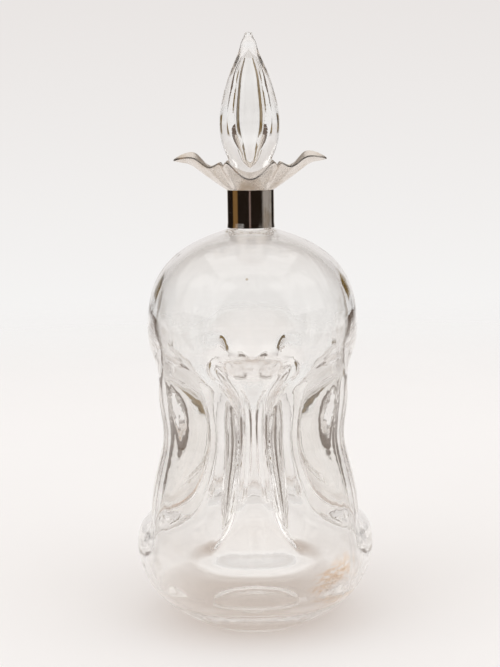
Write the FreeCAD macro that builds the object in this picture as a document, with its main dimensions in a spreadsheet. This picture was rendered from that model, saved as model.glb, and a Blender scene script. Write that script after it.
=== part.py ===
import FreeCAD, Part
import Sketcher
import math
import os

V = FreeCAD.Vector

# Driving sizes in millimetres, and two angles in degrees
SIZES = {
    # outside of the bottle, from the table to the root of the neck, and the neck above it
    "body_height": 185.8,
    "base_ring_radius": 26.6, "bulb_radius": 56.9, "waist_radius": 45.9, "shoulder_radius": 49.3,
    "neck_step": 1.0, "neck_length": 17.6,
    # thickness of the glass
    "wall_thickness": 3.2, "pinch_thickness": 7.0, "pinch_side_thickness": 3.2, "neck_wall": 2.2,
    # floor of the lower chamber and the hollow under the foot
    "floor_thickness": 5.4, "floor_middle_radius": 5.4, "foot_ring_width": 5.1, "kick_depth": 2.2,
    # distance of a dent's floor from the axis, and its half widths and rounding in plan
    "pinch_radius": 21.0,
    "pinch_floor_half": 2.8, "pinch_crease_half": 4.8, "pinch_slot_half": 5.2,
    "pinch_lip_round": 8.5, "pinch_end_round": 8.0,
    # neck bore, which narrows downwards, and the funnel that leads into it
    "bore_radius": 7.0, "bore_narrowing": 0.7, "bore_drop": 2.8,
    "bore_join_rise": 0.7, "bore_overlap_rise": 3.2,
    "funnel_drop": 0.7, "funnel_flare": 0.8, "funnel_root_drop": 0.5, "funnel_root_flare": 3.7,
    # ground peg of the stopper
    "peg_clearance": 0.04, "peg_length": 15.4, "peg_chamfer": 0.5,
    # stopper above the neck
    "stopper_radius": 13.9, "flame_length": 70.5, "nub_radius": 3.0,
    # sealed bubble inside the stopper, and the glass that is left above and below it
    "bubble_radius": 6.8, "bubble_base": 10.5, "bubble_crown": 8.4,
    # silver collar and the plaster it is bedded in
    "collar_thickness": 0.7, "collar_flare": 0.2, "collar_flare_height": 2.2,
    "collar_lift": 0.1, "collar_step": 0.3,
    "bedding_thickness": 0.94, "bedding_gap": 0.03, "bedding_lift": 4.1,
    # silver lip, rises measured from the top of the collar
    "lip_thickness": 0.7,
    "petal_tip_radius": 35.3, "petal_valley_radius": 18.6,
    "petal_ridge_radius": 27.5, "petal_trough_rise": 11.0,
    "petal_crest_angle": 22.0, "petal_dip_angle": 33.5,
    "petal_dip_rise": 10.0, "petal_knob_rise": 12.0, "petal_knob_reach": 1.2,
    "side_crest_rise": 16.9, "near_crest_rise": 14.8, "side_tip_rise": 13.4,
    "front_crest_rise": 12.6, "front_tip_rise": 5.2,
}

# Counts
PINCH_COUNT = 4
PETAL_COUNT = 4
BODY_ROW_COUNT = 44
FLOOR_ROW_COUNT = 12
NECK_ROW_COUNT = 7
PETAL_POLE_COUNT = 24
LIP_ROW_COUNT = 12
SPLINE_DEGREE_COUNT = 3

# Outline of the bottle from the foot up: shares of the radius it follows and of the body height
BULB_SHARES = ((0.687, 0.04), (0.9, 0.1023), (1.0, 0.194), (0.965, 0.2745))
WAIST_SHARES = ((1.142, 0.3525), (1.066, 0.42), (1.0, 0.496), (1.046, 0.57), (1.068, 0.635))
SHOULDER_SHARES = ((1.0, 0.778), (0.951, 0.8504), (0.809, 0.914), (0.55, 0.9645))
NECK_ROOT_SHARES = ((1.848, 0.987), (1.283, 0.9957), (1.076, 1.0))

# Edge of the chamber's floor: share of the bulb's radius and of the body height
FLOOR_EDGE_SHARES = (0.687, 0.0646)

# Floor of a dent from its foot up: shares of its depth at the waist and of the body height
DENT_SHARES = ((0.577, 0.3041), (0.279, 0.3552), (0.0, 0.4736), (0.143, 0.5705), (0.521, 0.6216))

# Heights as shares of the body height: ends of a dent, and joins between bands of the skins, which
# part tight curves from gentle ones
DENT_END_SHARES = (0.261, 0.67)
BAND_SHARES = (0.237, 0.334, 0.581, 0.7, 0.953)

# Outline of the stopper from the neck up: shares of the radius it follows and of the flame length
FLAME_SHARES = ((0.572, 0.122), (0.797, 0.224), (1.0, 0.386), (0.87, 0.59), (0.551, 0.78), (0.29, 0.9035))
NUB_SHARES = ((1.0, 0.9504), (0.63, 0.9844))

# Outline of the bubble from its bottom up: shares of its radius and of its length
BUBBLE_SHARES = ((0.353, 0.07), (0.559, 0.159), (0.809, 0.248), (0.956, 0.329), (1.0, 0.419),
                 (0.956, 0.519), (0.829, 0.653), (0.574, 0.833), (0.353, 0.922))

# Shares of half the angle between two dents, from the middle of a dent to its corner
ANGLE_SHARES = (0.0, 0.14, 0.27, 0.38, 0.47, 0.55, 0.64, 0.75, 0.87, 1.0)

# Shares of a dent's depth at its floor, its crease, its side and its slot
DEPTH_SHARES = (0.03, 0.16, 0.4, 0.64)

# Shares of a dent's lip rounding by which its side flares and its edge swells
FLARE_SHARE = 0.2
SWELL_SHARE = 0.15

# Powers that shape a petal in plan and fade its trough towards the valleys
PETAL_SHAPE_SHARE = 1.6
VALLEY_FADE_SHARE = 1.1

# Directions of radius and height at the ends of curves
UPWARD = (0.0, 1.0)
INWARD = (-1.0, 0.0)
OUTWARD = (1.0, 0.0)
SPREADING = (0.7, 1.0)
POINTED = (-0.6, 1.0)

doc = FreeCAD.newDocument("decanter")
sheet = doc.addObject("Spreadsheet::Sheet", "sizes")
for row, (alias, value) in enumerate(SIZES.items(), start=1):
    sheet.set("A%d" % row, alias)
    sheet.set("B%d" % row, str(value))
    sheet.setAlias("B%d" % row, alias)
doc.recompute()

# Sizes that follow from others, as expressions of the sheet
NECK_RADIUS = "sizes.bore_radius + sizes.neck_wall"
NECK_TOP = "sizes.body_height + sizes.neck_length"
BORE_BOTTOM = "sizes.body_height - sizes.bore_drop"
KICK_RADIUS = "(sizes.base_ring_radius - sizes.foot_ring_width)"
COLLAR_INNER = NECK_RADIUS + " + sizes.bedding_thickness + sizes.bedding_gap + sizes.bedding_gap"
COLLAR_OUTER = COLLAR_INNER + " + sizes.collar_thickness"
COLLAR_BOTTOM = "sizes.body_height + sizes.collar_lift"
COLLAR_TOP = NECK_TOP + " - sizes.collar_step"


def size(alias):
    """One driving size read from the sheet."""
    return float(sheet.get(alias))


def worked(expression):
    """Value of an expression of the sheet."""
    return float(sheet.evalExpression(expression))


def places_on(shares, radius, length, start=0.0):
    """Points of radius and height from pairs of shares."""
    return [(across * radius, start + along * length) for across, along in shares]


def bind(obj, **links):
    """Tie properties of an object to expressions of the sheet."""
    for prop, expression in links.items():
        obj.setExpression(prop, expression)


def add_shape(name, shape):
    """A document object that holds a worked-out shape."""
    obj = doc.addObject("Part::Feature", name)
    obj.Shape = shape
    obj.Placement = FreeCAD.Placement()
    return obj


# Curves in the half plane of radius and height

def spline(points, start=None, end=None):
    """Smooth curve through points of radius and height."""
    curve = Part.BSplineCurve()
    places = [V(r, 0, z) for r, z in points]
    if start and end:
        curve.interpolate(places, InitialTangent=V(start[0], 0, start[1]),
                          FinalTangent=V(end[0], 0, end[1]))
    else:
        curve.interpolate(places)
    return curve


def line(points):
    """Straight edges through points of radius and height."""
    places = [V(r, 0, z) for r, z in points]
    return [Part.makeLine(a, b) for a, b in zip(places, places[1:])]


def turned(edges):
    """Solid turned round the axis from edges that close in the half plane."""
    return Part.Face(Part.Wire(edges)).revolve(V(0, 0, 0), V(0, 0, 1), 360)


def sampled(curve, count):
    """Points of radius and height, evenly spaced along a curve."""
    return [(p.x, p.z) for p in curve.discretize(Number=count)]


def inset(points, distance):
    """The points moved to the left of their direction of travel."""
    moved = []
    for i, (r, z) in enumerate(points):
        before = points[max(i - 1, 0)]
        after = points[min(i + 1, len(points) - 1)]
        dr = after[0] - before[0]
        dz = after[1] - before[1]
        length = math.hypot(dr, dz)
        moved.append((r - distance * dz / length, z + distance * dr / length))
    return moved


def mirrored(point, centre):
    """A point on the other side of a centre, at the same distance."""
    return 2 * centre[0] - point[0], 2 * centre[1] - point[1]


def radius_at(points, height, missing):
    """Radius of a line of points at one height, or the given value off its ends."""
    for (r0, z0), (r1, z1) in zip(points, points[1:]):
        if min(z0, z1) <= height <= max(z0, z1) and z0 != z1:
            return r0 + (r1 - r0) * (height - z0) / (z1 - z0)
    return missing


# Smooth tubes built from rings of control points

def clamped_knots(count):
    """Knots and multiplicities of a curve that ends on its end points."""
    spans = count - SPLINE_DEGREE_COUNT
    knots = [float(i) for i in range(spans + 1)]
    mults = [SPLINE_DEGREE_COUNT + 1] + [1] * (spans - 1) + [SPLINE_DEGREE_COUNT + 1]
    return knots, mults


def ring_surface(rings):
    """Smooth surface over closed rings that all have the same count of points."""
    around = len(rings[0])
    poles = [[ring[i] for ring in rings] for i in range(around)]
    knots_u = [float(i) for i in range(around + 1)]
    mults_u = [1] * (around + 1)
    knots_v, mults_v = clamped_knots(len(rings))
    surface = Part.BSplineSurface()
    surface.buildFromPolesMultsKnots(poles, mults_u, mults_v, knots_u, knots_v,
                                     True, False, SPLINE_DEGREE_COUNT, SPLINE_DEGREE_COUNT)
    return surface


def banded_faces(rings, heights):
    """Faces of a ring surface, parted at the knots nearest to the given heights."""
    surface = ring_surface(rings)
    u0, u1, v0, v1 = surface.bounds()
    joins = [float(sum(ring[0].z < height for ring in rings) - 1) for height in heights]
    places = [v0] + joins + [v1]
    return [surface.toShape(u0, u1, low, high) for low, high in zip(places, places[1:])]


def ring_edge(face, ring):
    """The closed edge of a face that lies nearest to a ring."""
    middle = V(0, 0, 0)
    for point in ring:
        middle = middle + point / len(ring)
    closed = [edge for edge in face.Edges if edge.isClosed()]
    return min(closed, key=lambda edge: edge.CenterOfMass.distanceToPoint(middle))


def sewn_solid(faces):
    """Solid closed by faces that meet at their edges."""
    shell = Part.makeShell(faces)
    shell.sewShape()
    solid = Part.Solid(shell)
    if solid.Volume < 0:
        solid.reverse()
    return solid


def capped_tube(rings, heights):
    """Solid inside a ring surface in bands, closed by a flat face at each end."""
    bands = banded_faces(rings, heights)
    ends = [(bands[0], rings[0]), (bands[-1], rings[-1])]
    caps = [Part.Face(Part.Wire([ring_edge(band, ring)])) for band, ring in ends]
    return sewn_solid(bands + caps)


# Bottle with its pinched dents

half_angle = 180.0 / PINCH_COUNT
pinch_angles = [math.radians(half_angle * share) for share in ANGLE_SHARES]


def pinch_section(floor, radius, grow):
    """Half of a dent in plan at the waist: sideways and outward place of each point."""
    depth = radius - floor
    lip = size("pinch_lip_round")
    floor_half = size("pinch_floor_half") + grow
    crease = size("pinch_crease_half") + grow
    slot = size("pinch_slot_half") + grow
    crest = radius - lip / 2
    floor_share, crease_share, side_share, slot_share = DEPTH_SHARES
    corner = [(radius * math.sin(a), radius * math.cos(a)) for a in pinch_angles[-2:]]
    return [
        (0.0, floor),
        (floor_half / 2, floor),
        (floor_half, floor + floor_share * depth),
        (crease, floor + crease_share * depth),
        (slot + FLARE_SHARE * lip, floor + side_share * depth),
        (slot, floor + slot_share * depth),
        (slot + FLARE_SHARE * lip, crest - SWELL_SHARE * lip),
        (slot + lip, crest + SWELL_SHARE * lip),
    ] + corner


def body_rings(outline, dent_line, grow):
    """Rings of the outline, pushed in where the line of the dents runs inside it."""
    low, high = (share * size("body_height") for share in DENT_END_SHARES)
    waist = min(r for r, z in outline if low < z < high)
    floor = min(r for r, z in dent_line)
    far = max(r for r, z in dent_line)
    full = pinch_section(floor, waist, grow)
    full_depth = waist - floor
    rings = []
    for r, z in outline:
        gap = r - radius_at(dent_line, z, far)
        inward = (gap + math.hypot(gap, size("pinch_end_round"))) / 2
        share = min(inward / full_depth, 1.0)
        half = []
        for (side, out), angle in zip(full, pinch_angles):
            push = (waist * math.cos(angle) - out) / full_depth
            half.append((r * math.sin(angle) + share * (side - waist * math.sin(angle)),
                         r * math.cos(angle) - inward * push))
        whole = [(-side, out) for side, out in reversed(half[1:])] + half[:-1]
        ring = []
        for k in range(PINCH_COUNT):
            turn = 2 * math.pi * k / PINCH_COUNT
            for side, out in whole:
                ring.append(V(out * math.cos(turn) - side * math.sin(turn),
                              out * math.sin(turn) + side * math.cos(turn), z))
        rings.append(ring)
    return rings


body_height = size("body_height")
neck_radius = worked(NECK_RADIUS)
bulb_points = places_on(BULB_SHARES, size("bulb_radius"), body_height)
waist_points = places_on(WAIST_SHARES, size("waist_radius"), body_height)
shoulder_points = places_on(SHOULDER_SHARES, size("shoulder_radius"), body_height)
root_points = places_on(NECK_ROOT_SHARES, neck_radius, body_height)
outer_points = [(size("base_ring_radius"), 0.0)] + bulb_points + waist_points + shoulder_points + root_points[:-1]
outer_line = sampled(spline(outer_points), BODY_ROW_COUNT)

# The line of the dents crosses the outline at its two ends and runs on outside it
dent_low, dent_high = (share * body_height for share in DENT_END_SHARES)
dent_foot = (size("bulb_radius"), dent_low)
dent_head = (size("shoulder_radius"), dent_high)
dent_floor = [(size("pinch_radius") + out, height) for out, height
              in places_on(DENT_SHARES, size("waist_radius") - size("pinch_radius"), body_height)]
dent_line = sampled(spline([mirrored(dent_floor[0], dent_foot), dent_foot] + dent_floor
                           + [dent_head, mirrored(dent_floor[-1], dent_head)]), BODY_ROW_COUNT)

# Rows of the neck, close together at its foot, where it blends into the shoulder
neck_foot = body_height + size("neck_step")
neck_top = worked(NECK_TOP)
neck_rows = [(neck_radius, neck_foot + (neck_top - neck_foot) * (k / (NECK_ROW_COUNT - 1)) ** 2)
             for k in range(NECK_ROW_COUNT)]
outer_rows = outer_line + root_points[-1:] + neck_rows
band_heights = [share * body_height for share in BAND_SHARES]
outside = add_shape("bottle_outside", capped_tube(body_rings(outer_rows, dent_line, 0.0), band_heights))

# Space inside the glass, up to the neck bore
shell_line = [p for p in inset(outer_line, size("wall_thickness"))
              if p[1] > bulb_points[1][1] and p[0] > root_points[0][0]]
kick_radius = worked(KICK_RADIUS)
floor_edge_share, floor_rise_share = FLOOR_EDGE_SHARES
floor_line = sampled(spline([
    (size("floor_middle_radius"), size("floor_thickness") + size("kick_depth")),
    (kick_radius, size("floor_thickness") + size("kick_depth") / 2),
    (floor_edge_share * size("bulb_radius"), floor_rise_share * body_height),
    shell_line[0],
], OUTWARD, UPWARD), FLOOR_ROW_COUNT)
bore_bottom = worked(BORE_BOTTOM)
bore_low_radius = size("bore_radius") - size("bore_narrowing")
funnel_radius = bore_low_radius + size("funnel_flare")
funnel_height = bore_bottom - size("funnel_drop")
bore_rows = [
    (funnel_radius + size("funnel_root_flare"), funnel_height - size("funnel_root_drop")),
    (funnel_radius, funnel_height),
    (bore_low_radius, bore_bottom + size("bore_join_rise")),
    (bore_low_radius, bore_bottom + size("bore_overlap_rise")),
]
inner_rows = floor_line[:-1] + shell_line + bore_rows
inner_dent_line = inset(dent_line, size("pinch_thickness"))
inside = add_shape("bottle_inside", capped_tube(
    body_rings(inner_rows, inner_dent_line, size("pinch_side_thickness")), band_heights))

# Tapered bore of the neck
bore = doc.addObject("Part::Cone", "neck_bore")
bind(bore, Radius1="sizes.bore_radius - sizes.bore_narrowing", Radius2="sizes.bore_radius",
     Height="sizes.neck_length + sizes.bore_drop")
bore.setExpression("Placement.Base.z", BORE_BOTTOM)

# Shallow hollow under the foot, cut by a ball
kick = doc.addObject("Part::Sphere", "base_kick")
ball_radius = "(%s ^ 2 / sizes.kick_depth + sizes.kick_depth) / 2" % KICK_RADIUS
bind(kick, Radius=ball_radius)
kick.setExpression("Placement.Base.z", "sizes.kick_depth - " + ball_radius)

hollow = doc.addObject("Part::MultiFuse", "hollow")
hollow.Shapes = [inside, bore, kick]
bottle = doc.addObject("Part::Cut", "glass_bottle")
bottle.Base = outside
bottle.Tool = hollow
for joined in (hollow, bottle):
    joined.Refine = False


# Silver collar and its plaster bedding

def turned_body(name, corners):
    """Body revolved round the axis from a closed outline with bound corners."""
    body = doc.addObject("PartDesign::Body", name)
    sketch = body.newObject("Sketcher::SketchObject", name + "_outline")
    plane = next(f for f in body.Origin.OriginFeatures if f.Role == "XZ_Plane")
    sketch.AttachmentSupport = [(plane, "")]
    sketch.MapMode = "FlatFace"
    places = [V(sheet.evalExpression(x), sheet.evalExpression(z), 0) for x, z in corners]
    for start, end in zip(places, places[1:] + places[:1]):
        sketch.addGeometry(Part.LineSegment(start, end), False)
    for i in range(len(corners)):
        sketch.addConstraint(Sketcher.Constraint("Coincident", i, 2, (i + 1) % len(corners), 1))
    for i, (start, corner) in enumerate(zip(places, corners)):
        for kind, value, expression in zip(("DistanceX", "DistanceY"), start, corner):
            label = "%s_%d" % (kind, i)
            index = sketch.addConstraint(Sketcher.Constraint(kind, -1, 1, i, 1, value))
            sketch.renameConstraint(index, label)
            sketch.setExpression("Constraints." + label, expression)
    revolution = body.newObject("PartDesign::Revolution", name + "_turned")
    revolution.Profile = sketch
    revolution.ReferenceAxis = (sketch, ["V_Axis"])
    revolution.Angle = 360.0
    sketch.Visibility = False
    return body


collar = turned_body("silver_collar", [
    (COLLAR_INNER, COLLAR_BOTTOM),
    (COLLAR_OUTER + " + sizes.collar_flare", COLLAR_BOTTOM),
    (COLLAR_OUTER, COLLAR_BOTTOM + " + sizes.collar_flare_height"),
    (COLLAR_OUTER, COLLAR_TOP),
    (COLLAR_INNER, COLLAR_TOP),
])
bedding_inner = NECK_RADIUS + " + sizes.bedding_gap"
bedding_outer = bedding_inner + " + sizes.bedding_thickness"
bedding_bottom = COLLAR_BOTTOM + " + sizes.bedding_lift"
bedding_top = COLLAR_TOP + " - sizes.bedding_gap"
plaster = turned_body("collar_plaster", [
    (bedding_inner, bedding_bottom),
    (bedding_outer, bedding_bottom),
    (bedding_outer, bedding_top),
    (bedding_inner, bedding_top),
])


# Silver lip of four petals over the collar

def eased(value, places):
    """Smooth step through pairs of angle and height."""
    for (a0, h0), (a1, h1) in zip(places, places[1:]):
        if a0 <= value <= a1:
            share = (1 - math.cos(math.pi * (value - a0) / (a1 - a0))) / 2
            return h0 + (h1 - h0) * share
    return places[-1][1]


def petal_rim(offset, tip_rise, crest_rise):
    """Radius, rise and swing of the rim, offset degrees from the middle of a petal."""
    half = 180.0 / PETAL_COUNT
    valley = size("petal_valley_radius")
    swing = abs(math.cos(math.radians(offset * PETAL_COUNT / 2))) ** PETAL_SHAPE_SHARE
    knob = eased(offset, [(0.0, 0.0), (size("petal_dip_angle"), 0.0), (half, size("petal_knob_reach"))])
    radius = valley + swing * (size("petal_tip_radius") - valley) + knob
    rise = eased(offset, [(0.0, tip_rise),
                          (size("petal_crest_angle"), crest_rise),
                          (size("petal_dip_angle"), size("petal_dip_rise")),
                          (half, size("petal_knob_rise"))])
    return radius, rise, swing


def lip_rings(upper):
    """Rings of the lip from the collar to the rim, on its upper or its under side."""
    thick = size("lip_thickness")
    foot = collar_radius - (thick if upper else 0.0)
    reach = size("petal_ridge_radius") - collar_radius
    pitch = 360.0 / PETAL_COUNT
    rings = []
    for row in range(LIP_ROW_COUNT):
        share = row / (LIP_ROW_COUNT - 1)
        ring = []
        for k in range(PETAL_COUNT * PETAL_POLE_COUNT):
            petal, step = divmod(k + PETAL_POLE_COUNT // 2, PETAL_POLE_COUNT)
            offset = abs(step / PETAL_POLE_COUNT - 1 / 2) * pitch
            angle = 2 * math.pi * k / (PETAL_COUNT * PETAL_POLE_COUNT)
            if petal % 2:
                rim, rise, swing = petal_rim(offset, size("front_tip_rise"), size("front_crest_rise"))
            elif math.sin(angle) < 0:
                rim, rise, swing = petal_rim(offset, size("side_tip_rise"), size("near_crest_rise"))
            else:
                rim, rise, swing = petal_rim(offset, size("side_tip_rise"), size("side_crest_rise"))
            r = foot + (rim - foot) * share
            lean = max(0.0, min(r - collar_radius, reach)) / reach
            rim_lean = min(rim - collar_radius, reach) / reach
            edge = rise - size("petal_trough_rise") * rim_lean
            height = size("petal_trough_rise") * lean + edge * share ** (VALLEY_FADE_SHARE + swing)
            if upper and row:
                height += thick
            ring.append(V(r * math.cos(angle), r * math.sin(angle), collar_top + height))
        rings.append(ring)
    return rings


collar_radius = worked(COLLAR_OUTER)
collar_top = worked(COLLAR_TOP)
under_rings = lip_rings(False)
upper_rings = lip_rings(True)
under = ring_surface(under_rings).toShape()
upper = ring_surface(upper_rings).toShape()
lip_ends = [Part.makeRuledSurface(ring_edge(under, under_rings[i]), ring_edge(upper, upper_rings[i]))
            for i in (0, -1)]
lip = add_shape("silver_lip", sewn_solid([under, upper] + lip_ends))

# Stopper with its ground peg and its sealed bubble
peg_top = neck_top
peg_bottom = peg_top - size("peg_length")
peg_chamfer = size("peg_chamfer")
taper = size("bore_narrowing") / (peg_top - bore_bottom)
peg_high_radius = size("bore_radius") - size("peg_clearance")
peg_low_radius = peg_high_radius - taper * (peg_top - peg_bottom)
flame_length = size("flame_length")
stopper_top = (0.0, peg_top + flame_length)
flame = spline([(peg_high_radius, peg_top)]
               + places_on(FLAME_SHARES, size("stopper_radius"), flame_length, peg_top)
               + places_on(NUB_SHARES, size("nub_radius"), flame_length, peg_top)
               + [stopper_top], UPWARD, INWARD).toShape()
peg_edges = line([
    stopper_top,
    (0.0, peg_bottom),
    (peg_low_radius - peg_chamfer, peg_bottom),
    (peg_low_radius, peg_bottom + peg_chamfer),
    (peg_high_radius, peg_top),
])
bubble_bottom = (0.0, peg_top + size("bubble_base"))
bubble_top = (0.0, stopper_top[1] - size("bubble_crown"))
bubble_curve = spline([bubble_bottom]
                      + places_on(BUBBLE_SHARES, size("bubble_radius"), bubble_top[1] - bubble_bottom[1],
                                  bubble_bottom[1])
                      + [bubble_top], SPREADING, POINTED).toShape()
bubble = turned([bubble_curve] + line([bubble_top, bubble_bottom]))
stopper = add_shape("glass_stopper", turned([flame] + peg_edges).cut(bubble))

doc.recompute()

for obj in doc.Objects:
    if "Invalid" in obj.State or "Error" in obj.State:
        raise RuntimeError("%s did not compute" % obj.Name)
os.makedirs("parts", exist_ok=True)
for piece in (bottle, plaster, collar, lip, stopper):
    if piece.Shape.isNull() or not piece.Shape.isValid():
        raise RuntimeError("%s has no sound shape" % piece.Name)
    piece.Label = piece.Name
    piece.Shape.exportStep("parts/%s.step" % piece.Label)
    box = piece.Shape.BoundBox
    print(piece.Label, len(piece.Shape.Solids), round(piece.Shape.Volume, 1),
          round(box.XLength, 2), round(box.YLength, 2), round(box.ZMin, 2), round(box.ZMax, 2))
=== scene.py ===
import math

import bpy
from mathutils import Euler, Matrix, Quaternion, Vector


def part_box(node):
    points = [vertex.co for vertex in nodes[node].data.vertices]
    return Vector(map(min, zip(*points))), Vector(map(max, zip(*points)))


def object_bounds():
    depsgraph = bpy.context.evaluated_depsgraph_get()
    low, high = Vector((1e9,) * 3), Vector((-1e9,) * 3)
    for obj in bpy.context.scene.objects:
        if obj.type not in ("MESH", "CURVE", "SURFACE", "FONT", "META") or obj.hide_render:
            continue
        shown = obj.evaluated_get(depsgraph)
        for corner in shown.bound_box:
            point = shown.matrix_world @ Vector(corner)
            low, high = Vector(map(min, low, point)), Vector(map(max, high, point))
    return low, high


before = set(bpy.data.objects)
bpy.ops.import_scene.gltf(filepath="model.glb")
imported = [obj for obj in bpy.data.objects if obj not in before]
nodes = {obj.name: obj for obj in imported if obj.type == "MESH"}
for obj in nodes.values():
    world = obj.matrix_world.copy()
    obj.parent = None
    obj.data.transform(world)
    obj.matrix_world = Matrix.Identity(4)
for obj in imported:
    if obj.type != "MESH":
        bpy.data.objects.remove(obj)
cad_low, cad_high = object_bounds()

# Lengths are in metres, and colours of four plain numbers are linear light with alpha.
# A NOISE holds scale, detail and roughness, and a BUMP holds strength and reach.
# A STEP holds where it is 0 and where it is 1.
# A BAND holds where it starts, where it is full from and to, and where it ends.

# Camera of the photograph, with angles in degrees and the sensor in millimetres
IMAGE_LONG_SIDE_PIXELS = 667.0
FOCAL_LENGTH_PIXELS = 1297.6
SENSOR_WIDTH = 36.0
CAMERA_DISTANCE = 0.600
CAMERA_HEIGHT = 0.2265
CAMERA_PITCH = 8.56
CAMERA_ROLL = 0.81
CAMERA_PAN = 0.11
CAMERA_CLIP_START = 0.01
LEVEL_ANGLE = 90.0

# Light passes many walls of glass before it leaves the bottle
GLASS_BOUNCE_COUNT = 64

# Sockets of a Mix node that mixes colours
MIX_SHARE_INPUT, MIX_FIRST_INPUT, MIX_SECOND_INPUT, MIX_COLOUR_OUTPUT = 0, 6, 7, 2

# The curve from display values to linear light
DISPLAY_MAX = 255
CURVE_TOE_END, CURVE_TOE_SLOPE = 0.04045, 12.92
CURVE_OFFSET, CURVE_POWER = 0.055, 2.4

HALF = 0.5


class Tree:
    """A node tree with short calls for adding and joining nodes."""

    def __init__(self, owner):
        owner.use_nodes = True
        self.nodes = owner.node_tree.nodes
        self.links = owner.node_tree.links
        self.nodes.clear()

    def add(self, kind, settings=None, **inputs):
        """A node with its settings, and its inputs set to values or joined to outputs.

        An input goes by its label, with _ for each space, or by iN for the one at place N.
        """
        node = self.nodes.new(kind)
        for key, value in (settings or {}).items():
            setattr(node, key, value)
        for key, value in inputs.items():
            place = int(key[1:]) if key[1:].isdigit() else key.replace("_", " ")
            self.put(value, node.inputs[place])
        return node

    def put(self, value, socket):
        """Joins an output to a socket, or sets the socket's own value."""
        if isinstance(value, bpy.types.NodeSocket):
            self.links.new(value, socket)
        else:
            socket.default_value = value

    def math(self, operation, *values):
        """Output of a Math node."""
        node = self.add("ShaderNodeMath", {"operation": operation})
        for socket, value in zip(node.inputs, values):
            self.put(value, socket)
        return node.outputs[0]

    def product(self, first, *others):
        """Output of all the values multiplied."""
        for other in others:
            first = self.math("MULTIPLY", first, other)
        return first

    def step(self, value, low, high):
        """Output that changes smoothly from 0 at low to 1 at high."""
        node = self.add("ShaderNodeMapRange", {"interpolation_type": "SMOOTHSTEP"})
        for socket, setting in zip(node.inputs, (value, low, high, 0.0, 1.0)):
            self.put(setting, socket)
        return node.outputs[0]

    def band(self, value, start, full_from, full_to, end):
        """Output of 1 from full_from to full_to, which falls to 0 at start and at end."""
        return self.product(self.step(value, start, full_from), self.step(value, end, full_to))

    def mix(self, share, first, second):
        """Output of two colours mixed by a share."""
        node = self.add("ShaderNodeMix", {"data_type": "RGBA"})
        self.put(share, node.inputs[MIX_SHARE_INPUT])
        self.put(first, node.inputs[MIX_FIRST_INPUT])
        self.put(second, node.inputs[MIX_SECOND_INPUT])
        return node.outputs[MIX_COLOUR_OUTPUT]

    def noise(self, vector, scale, detail, roughness):
        """Output of a Noise Texture."""
        return self.add("ShaderNodeTexNoise", Vector=vector, Scale=scale, Detail=detail,
                        Roughness=roughness).outputs[0]

    def bump(self, height, strength, reach):
        """Output of a Bump node."""
        return self.add("ShaderNodeBump", Strength=strength, Distance=reach,
                        Height=height).outputs[0]

    def ramp(self, share, stops):
        """Colour output of a ramp through pairs of place and colour."""
        node = self.add("ShaderNodeValToRGB", i0=share)
        elements = node.color_ramp.elements
        while len(elements) < len(stops):
            elements.new(HALF)
        for element, (position, colour) in zip(elements, stops):
            element.position = position
            element.color = colour
        return node.outputs[0]

    def place(self):
        """Output of the place on the object, in its own frame."""
        return self.add("ShaderNodeTexCoord").outputs["Object"]

    def surface(self, kind, shader):
        """Joins a shader node to the output of the tree."""
        self.add(kind, Surface=shader.outputs[0])


def rgb(red, green, blue):
    """A colour of display values from 0 to 255 as linear light, with alpha 1."""
    def linear(value):
        share = value / DISPLAY_MAX
        if share <= CURVE_TOE_END:
            return share / CURVE_TOE_SLOPE
        return ((share + CURVE_OFFSET) / (1 + CURVE_OFFSET)) ** CURVE_POWER
    return (linear(red), linear(green), linear(blue), 1.0)


def new_material(name):
    """A new material, and the tree of its nodes."""
    material = bpy.data.materials.new(name)
    return material, Tree(material)


def give(name, material):
    """Puts one material on all of a piece."""
    materials = nodes[name].data.materials
    materials.clear()
    materials.append(material)


# Clear glass, with painted shade that makes it browner near the table

GLASS_INDEX = 1.5
GLASS_COLOUR = (0.978, 0.974, 0.966, 1.0)
# Painted shade: the glass colour near the table, and the heights where it starts and where it is
# full
FOOT_PAINTED_SHADE_COLOUR = (0.955, 0.935, 0.915, 1.0)
FOOT_PAINTED_SHADE_STEP = (0.034, 0.004)
GLASS_SHADOW_COLOUR = (0.885, 0.86, 0.84, 1.0)
WAVE_NOISE = (38.0, 0.0, 0.5)
WAVE_BUMP = (0.05, 0.002)

# Scuffs on the ring that the bottle stands on
FOOT_WEAR_STEP = (0.0022, 0.0004)
SCUFF_NOISE = (900.0, 4.0, 0.7)
SCUFF_STEP = (0.5, 0.62)
SCUFF_ROUGHNESS = 0.35

# Ground zone of the stopper's peg
GROUND_EDGE_BLUR = 0.0003
GROUND_NOISE = (3000.0, 3.0, 0.5)
GROUND_LEAST_ROUGHNESS = 0.3
GROUND_GRAIN = 0.2

# Middle of each dark speck in the glass, and the reach of all
SPECKS = ((-0.0021, -0.0420, 0.1662), (0.0176, 0.0230, 0.0056), (0.0250, 0.0180, 0.0058),
          (-0.0150, 0.0200, 0.0056), (-0.0300, 0.0120, 0.0070))
SPECK_REACH = 0.0009
SPECK_COLOUR = (0.42, 0.33, 0.22, 1.0)

# Middle and reach of each brown stain inside the foot
STAINS = (((0.038, 0.012, 0.017), 0.016), ((0.033, 0.002, 0.008), 0.010))
STAIN_COLOUR = (0.90, 0.62, 0.38, 1.0)
STAIN_NOISE = (260.0, 4.0, 0.65)
STAIN_STEP = (0.40, 0.58)
STAIN_ROUGHNESS = 0.3

# A speck or stain is full within its reach divided by this
MARK_CORE_DIVISOR = 3


def mark(tree, place, centre, reach):
    """Output of 1 in the core of a round mark, which falls to 0 at its reach."""
    away = tree.add("ShaderNodeVectorMath", {"operation": "DISTANCE"}, i0=place, i1=centre)
    return tree.step(away.outputs["Value"], reach, reach / MARK_CORE_DIVISOR)


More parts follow.
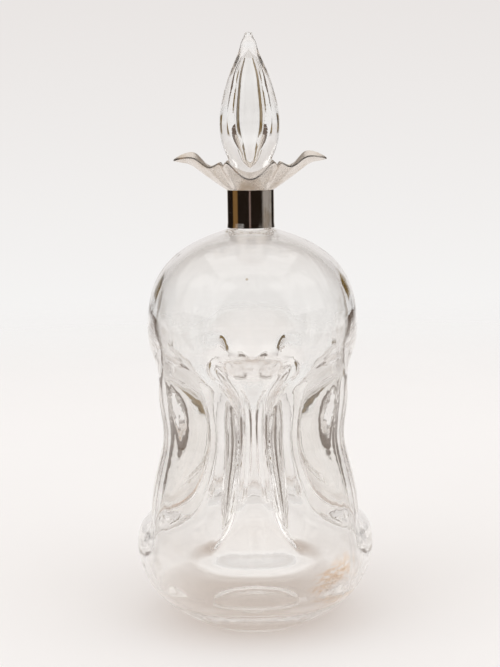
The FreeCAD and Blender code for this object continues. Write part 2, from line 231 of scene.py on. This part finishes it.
def glass_material(name, ground=None, marked=False):
    """Clear old glass with slight waves, a scuffed foot and painted shade near the table.

    ground is the lowest and the highest place of a matt zone, and marked adds the bottle's
    stains and specks.
    """
    material, tree = new_material(name)
    place = tree.place()
    height = tree.add("ShaderNodeSeparateXYZ", Vector=place).outputs["Z"]
    bump = tree.bump(tree.noise(place, *WAVE_NOISE), *WAVE_BUMP)
    scuffs = tree.step(tree.noise(place, *SCUFF_NOISE), *SCUFF_STEP)
    roughness = tree.product(tree.step(height, *FOOT_WEAR_STEP), scuffs, SCUFF_ROUGHNESS)
    if ground is not None:
        low, high = ground
        zone = tree.band(height, low - GROUND_EDGE_BLUR, low, high, high + GROUND_EDGE_BLUR)
        grain = tree.math("MULTIPLY_ADD", tree.noise(place, *GROUND_NOISE), GROUND_GRAIN,
                          GROUND_LEAST_ROUGHNESS)
        roughness = tree.math("MAXIMUM", roughness, tree.product(zone, grain))
    # Painted shade: the glass turns browner towards the table
    colour = tree.mix(tree.step(height, *FOOT_PAINTED_SHADE_STEP), GLASS_COLOUR, FOOT_PAINTED_SHADE_COLOUR)
    if marked:
        cloud = tree.step(tree.noise(place, *STAIN_NOISE), *STAIN_STEP)
        for centre, reach in STAINS:
            spot = tree.product(mark(tree, place, centre, reach), cloud)
            colour = tree.mix(spot, colour, STAIN_COLOUR)
            roughness = tree.math("MULTIPLY_ADD", spot, STAIN_ROUGHNESS, roughness)
        for centre in SPECKS:
            colour = tree.mix(mark(tree, place, centre, SPECK_REACH), colour, SPECK_COLOUR)
    body = tree.add("ShaderNodeBsdfPrincipled", Base_Color=colour, IOR=GLASS_INDEX,
                    Roughness=roughness, Normal=bump, Transmission_Weight=1.0)
    ray = tree.add("ShaderNodeLightPath").outputs
    through = tree.math("MAXIMUM", ray["Is Shadow Ray"], ray["Is Diffuse Ray"])
    clear = tree.add("ShaderNodeBsdfTransparent", Color=GLASS_SHADOW_COLOUR)
    mixed = tree.add("ShaderNodeMixShader", i0=through, i1=body.outputs[0], i2=clear.outputs[0])
    tree.surface("ShaderNodeOutputMaterial", mixed)
    return material


# Old silver, with thin brown tarnish and scratches that run round the piece

SILVER_COLOUR = (0.79, 0.74, 0.69, 1.0)
TARNISH_COLOUR = (0.60, 0.51, 0.41, 1.0)
TARNISH_NOISE = (90.0, 4.0, 0.6)
TARNISH_STEP = (0.5, 0.75)
TARNISH_ROUGHNESS = 0.05
SCRATCH_STRETCH = (1.0, 1.0, 9.0)
SCRATCH_NOISE = (700.0, 3.0, 0.6)
SCRATCH_ROUGHNESS = 0.06
SCRATCH_BUMP = (0.05, 0.0004)
COLLAR_ROUGHNESS = 0.03
LIP_ROUGHNESS = 0.24


def silver_material(name, least_roughness):
    """Old silver with fine scratches and tarnish."""
    material, tree = new_material(name)
    place = tree.place()
    tarnish = tree.step(tree.noise(place, *TARNISH_NOISE), *TARNISH_STEP)
    colour = tree.mix(tarnish, SILVER_COLOUR, TARNISH_COLOUR)
    stretched = tree.add("ShaderNodeMapping", Vector=place, Scale=SCRATCH_STRETCH)
    scratch = tree.noise(stretched.outputs[0], *SCRATCH_NOISE)
    dulled = tree.math("MULTIPLY_ADD", tarnish, TARNISH_ROUGHNESS, least_roughness)
    roughness = tree.math("MULTIPLY_ADD", scratch, SCRATCH_ROUGHNESS, dulled)
    body = tree.add("ShaderNodeBsdfPrincipled", Base_Color=colour, Metallic=1.0,
                    Roughness=roughness, Normal=tree.bump(scratch, *SCRATCH_BUMP))
    tree.surface("ShaderNodeOutputMaterial", body)
    return material


# Plaster

PLASTER_NOISE = (900.0, 5.0, 0.7)
PLASTER_BUMP = (0.4, 0.0003)
PLASTER_DARK_COLOUR = rgb(214, 205, 188)
PLASTER_PALE_COLOUR = rgb(236, 230, 218)
PLASTER_ROUGHNESS = 0.95


def plaster_material(name):
    """Dull plaster with grains and pores."""
    material, tree = new_material(name)
    grain = tree.noise(tree.place(), *PLASTER_NOISE)
    body = tree.add("ShaderNodeBsdfPrincipled", Roughness=PLASTER_ROUGHNESS,
                    Base_Color=tree.mix(grain, PLASTER_DARK_COLOUR, PLASTER_PALE_COLOUR),
                    Normal=tree.bump(grain, *PLASTER_BUMP))
    tree.surface("ShaderNodeOutputMaterial", body)
    return material


def dress():
    """Puts its material on each piece."""
    peg_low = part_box("glass_stopper")[0].z
    neck_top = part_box("glass_bottle")[1].z
    give("glass_bottle", glass_material("bottle_glass", marked=True))
    give("glass_stopper", glass_material("stopper_glass", ground=(peg_low, neck_top)))
    give("silver_collar", silver_material("silver_collar", COLLAR_ROUGHNESS))
    give("silver_lip", silver_material("silver_lip", LIP_ROUGHNESS))
    give("collar_plaster", plaster_material("plaster"))


# Floor, which fades into the background away from the object

FLOOR_RADIUS = 1.6
FLOOR_FADE_STEP = (0.45, 1.3)
FLOOR_SIDE_COUNT = 96
FLOOR_ROUGHNESS = 0.6
PAPER_NOISE = (6.0, 3.0, 0.5)
PAPER_DARK_COLOUR = (0.90, 0.88, 0.87, 1.0)
PAPER_PALE_COLOUR = (0.92, 0.90, 0.89, 1.0)

# Dark table beyond the paper, which shows only in light turned back by the glass
OFF_PAPER_STEP = (0.20, 0.30)
OFF_PAPER_COLOUR = rgb(112, 98, 88)


def reflected_inside(tree):
    """Output of 1 for light on its way through glass after an odd number of bounces, else 0.

    This stands for light that the glass has turned back, so that what it shows stays out of the
    straight view through the bottle.
    """
    ray = tree.add("ShaderNodeLightPath").outputs
    odd = tree.math("MODULO", ray["Ray Depth"], 2.0)
    return tree.product(ray["Is Transmission Ray"], odd)


def make_floor():
    """Round pale floor."""
    turns = [math.tau * side / FLOOR_SIDE_COUNT for side in range(FLOOR_SIDE_COUNT)]
    corners = [(FLOOR_RADIUS * math.cos(a), FLOOR_RADIUS * math.sin(a), 0.0) for a in turns]
    mesh = bpy.data.meshes.new("floor")
    mesh.from_pydata(corners, [], [tuple(range(FLOOR_SIDE_COUNT))])
    floor = bpy.data.objects.new("floor", mesh)
    bpy.context.scene.collection.objects.link(floor)
    material, tree = new_material("floor")
    place = tree.place()
    distance = tree.add("ShaderNodeVectorMath", {"operation": "LENGTH"}, i0=place).outputs["Value"]
    off_paper = tree.product(tree.step(distance, *OFF_PAPER_STEP), reflected_inside(tree))
    paper = tree.mix(tree.noise(place, *PAPER_NOISE), PAPER_DARK_COLOUR, PAPER_PALE_COLOUR)
    matt = tree.add("ShaderNodeBsdfDiffuse", Roughness=FLOOR_ROUGHNESS,
                    Color=tree.mix(off_paper, paper, OFF_PAPER_COLOUR))
    clear = tree.add("ShaderNodeBsdfTransparent")
    fade = tree.product(tree.step(distance, *FLOOR_FADE_STEP),
                        tree.math("SUBTRACT", 1.0, off_paper))
    mixed = tree.add("ShaderNodeMixShader", i0=fade, i1=matt.outputs[0], i2=clear.outputs[0])
    tree.surface("ShaderNodeOutputMaterial", mixed)
    floor.data.materials.append(material)


# Surroundings. A rise is the sine of the angle above the horizon. An azimuth is in radians
# from the camera's side, and grows to the right.

EIGHTH_TURN = math.pi / 4
WORLD_STRENGTH = 1.0

# Share of the way from straight down to straight up, and colour
BACKDROP_STOPS = (
    (0.30, rgb(238, 234, 232)),
    (0.425, rgb(246, 245, 244)),
    (0.548, rgb(234, 230, 228)),
    (0.80, rgb(222, 217, 213)),
)

# What lights dull surfaces
ROOM_LIGHT_COLOUR = (0.80, 0.79, 0.78, 1.0)

# Dark strips that glass shows in each quarter, by angle from the quarter's middle and by rise
LOW_STRIP_ASIDE_BAND = (0.31, 0.35, 0.60, 0.64)
LOW_STRIP_RISE_BAND = (-0.19, -0.15, -0.01, 0.01)
HIGH_STRIP_ASIDE_BAND = (0.36, 0.40, 0.60, 0.64)
HIGH_STRIP_RISE_BAND = (-0.04, -0.01, 0.12, 0.18)
STRIP_SIDE_STEP = (0.1, -0.1)
STRIP_RIGHT_COLOUR = rgb(106, 84, 40)
STRIP_LEFT_COLOUR = rgb(64, 50, 38)
STRIP_PATCH_NOISE = (5.0, 2.0, 0.5)
STRIP_PATCH_STEP = (0.35, 0.65)
STRIP_PATCH_COLOUR = rgb(132, 108, 56)

# Ceiling that glass shows
CEILING_STEP = (0.50, 0.90)
CEILING_COLOUR = rgb(196, 190, 184)

# Dark room that silver shows, with a warm glow to the left, pale streaks to the right and a
# thin line in the middle
ROOM_COLOUR = rgb(30, 22, 16)
LEFT_GLOW_BAND = (-1.75, -1.60, -1.25, -1.10)
LEFT_GLOW_COLOUR = rgb(128, 98, 58)
RIGHT_GLOW_BAND = (0.95, 1.15, 2.0, 2.2)
STREAK_NOISE = (22.0, 3.0, 0.7)
STREAK_STEP = (0.38, 0.62)
STREAK_COLOUR = rgb(215, 210, 205)
CENTRE_LINE_BAND = (-0.12, -0.08, -0.06, -0.02)
CENTRE_LINE_COLOUR = rgb(190, 165, 158)
BEHIND_STEP = (2.5, 2.8)
MIRRORED_FLOOR_STEP = (-0.30, -0.12)
MIRRORED_CEILING_STEP = (0.35, 0.60)
MIRRORED_CEILING_COLOUR = rgb(158, 150, 142)


def seen_through_glass(tree, direction, rise, azimuth, backdrop):
    """Colour of the surroundings for light that has passed through glass."""
    aside = tree.math("ABSOLUTE", tree.math("WRAP", azimuth, EIGHTH_TURN, -EIGHTH_TURN))
    low_strip = tree.product(tree.band(aside, *LOW_STRIP_ASIDE_BAND),
                             tree.band(rise, *LOW_STRIP_RISE_BAND), reflected_inside(tree))
    high_strip = tree.product(tree.band(aside, *HIGH_STRIP_ASIDE_BAND),
                              tree.band(rise, *HIGH_STRIP_RISE_BAND))
    strip = tree.math("MAXIMUM", low_strip, high_strip)
    left = tree.step(azimuth, *STRIP_SIDE_STEP)
    strip_colour = tree.mix(left, STRIP_RIGHT_COLOUR, STRIP_LEFT_COLOUR)
    patches = tree.step(tree.noise(direction, *STRIP_PATCH_NOISE), *STRIP_PATCH_STEP)
    strip_colour = tree.mix(patches, strip_colour, STRIP_PATCH_COLOUR)
    pale = tree.mix(tree.step(rise, *CEILING_STEP), backdrop, CEILING_COLOUR)
    return tree.mix(strip, pale, strip_colour)


def mirrored_in_silver(tree, rise, azimuth, backdrop):
    """Colour of the surroundings for light that silver, or the face of glass, has mirrored."""
    around = tree.add("ShaderNodeCombineXYZ", X=azimuth).outputs[0]
    streaks = tree.product(tree.band(azimuth, *RIGHT_GLOW_BAND),
                           tree.step(tree.noise(around, *STREAK_NOISE), *STREAK_STEP))
    room = tree.mix(tree.band(azimuth, *LEFT_GLOW_BAND), ROOM_COLOUR, LEFT_GLOW_COLOUR)
    room = tree.mix(streaks, room, STREAK_COLOUR)
    room = tree.mix(tree.band(azimuth, *CENTRE_LINE_BAND), room, CENTRE_LINE_COLOUR)
    behind = tree.step(tree.math("ABSOLUTE", azimuth), *BEHIND_STEP)
    room = tree.mix(behind, room, backdrop)
    room = tree.mix(tree.step(rise, *MIRRORED_FLOOR_STEP), backdrop, room)
    return tree.mix(tree.step(rise, *MIRRORED_CEILING_STEP), room, MIRRORED_CEILING_COLOUR)


def make_world():
    """Pale backdrop, with other surroundings that glass and silver show."""
    world = bpy.data.worlds.new("studio")
    bpy.context.scene.world = world
    tree = Tree(world)
    direction = tree.add("ShaderNodeTexCoord").outputs["Generated"]
    split = tree.add("ShaderNodeSeparateXYZ", Vector=direction).outputs
    rise = split["Z"]
    azimuth = tree.math("ARCTAN2", split["X"], tree.math("MULTIPLY", split["Y"], -1.0))
    backdrop = tree.ramp(tree.math("MULTIPLY_ADD", rise, HALF, HALF), BACKDROP_STOPS)
    mirrored = mirrored_in_silver(tree, rise, azimuth, backdrop)
    seen_through = seen_through_glass(tree, direction, rise, azimuth, backdrop)

    ray = tree.add("ShaderNodeLightPath").outputs
    colour = tree.mix(ray["Is Glossy Ray"], ROOM_LIGHT_COLOUR, mirrored)
    colour = tree.mix(ray["Is Transmission Ray"], colour, seen_through)
    colour = tree.mix(ray["Is Camera Ray"], colour, backdrop)
    light = tree.add("ShaderNodeBackground", Color=colour, Strength=WORLD_STRENGTH)
    tree.surface("ShaderNodeOutputWorld", light)


# Place, side and power in watts of each softbox

SOFTBOXES = (
    ("softbox_left", (-1.00, -0.60, 0.90), 1.30, 3.0),
    ("softbox_right", (1.05, -0.55, 0.95), 1.30, 2.7),
    ("softbox_top", (0.0, 0.15, 1.30), 1.20, 2.8),
)


def make_lamps():
    """Square softboxes that face the middle of the object, two to the sides and one overhead."""
    middle = Vector((0.0, 0.0, (cad_low.z + cad_high.z) / 2))
    for name, place, side, power in SOFTBOXES:
        lamp = bpy.data.lights.new(name, "AREA")
        lamp.shape = "SQUARE"
        lamp.size = side
        lamp.energy = power
        obj = bpy.data.objects.new(name, lamp)
        bpy.context.scene.collection.objects.link(obj)
        obj.location = place
        obj.rotation_mode = "QUATERNION"
        obj.rotation_quaternion = (middle - Vector(place)).to_track_quat("-Z", "Y")


def make_camera():
    """Camera at the place and angle of the photograph."""
    camera = bpy.data.cameras.new("camera")
    camera.sensor_width = SENSOR_WIDTH
    camera.lens = SENSOR_WIDTH * FOCAL_LENGTH_PIXELS / IMAGE_LONG_SIDE_PIXELS
    camera.clip_start = CAMERA_CLIP_START
    obj = bpy.data.objects.new("camera", camera)
    bpy.context.scene.collection.objects.link(obj)
    tilt = math.radians(LEVEL_ANGLE - CAMERA_PITCH)
    aim = Euler((tilt, 0.0, math.radians(CAMERA_PAN))).to_quaternion()
    roll = Quaternion((0.0, 0.0, 1.0), math.radians(-CAMERA_ROLL))
    obj.location = (0.0, -CAMERA_DISTANCE, CAMERA_HEIGHT)
    obj.rotation_mode = "QUATERNION"
    obj.rotation_quaternion = aim @ roll
    bpy.context.scene.camera = obj


dress()
make_floor()
make_world()
make_lamps()
make_camera()
bpy.context.scene.view_settings.view_transform = "Standard"
bpy.context.scene.cycles.max_bounces = GLASS_BOUNCE_COUNT
bpy.context.scene.cycles.glossy_bounces = GLASS_BOUNCE_COUNT
bpy.context.scene.cycles.transmission_bounces = GLASS_BOUNCE_COUNT

bpy.context.view_layer.update()
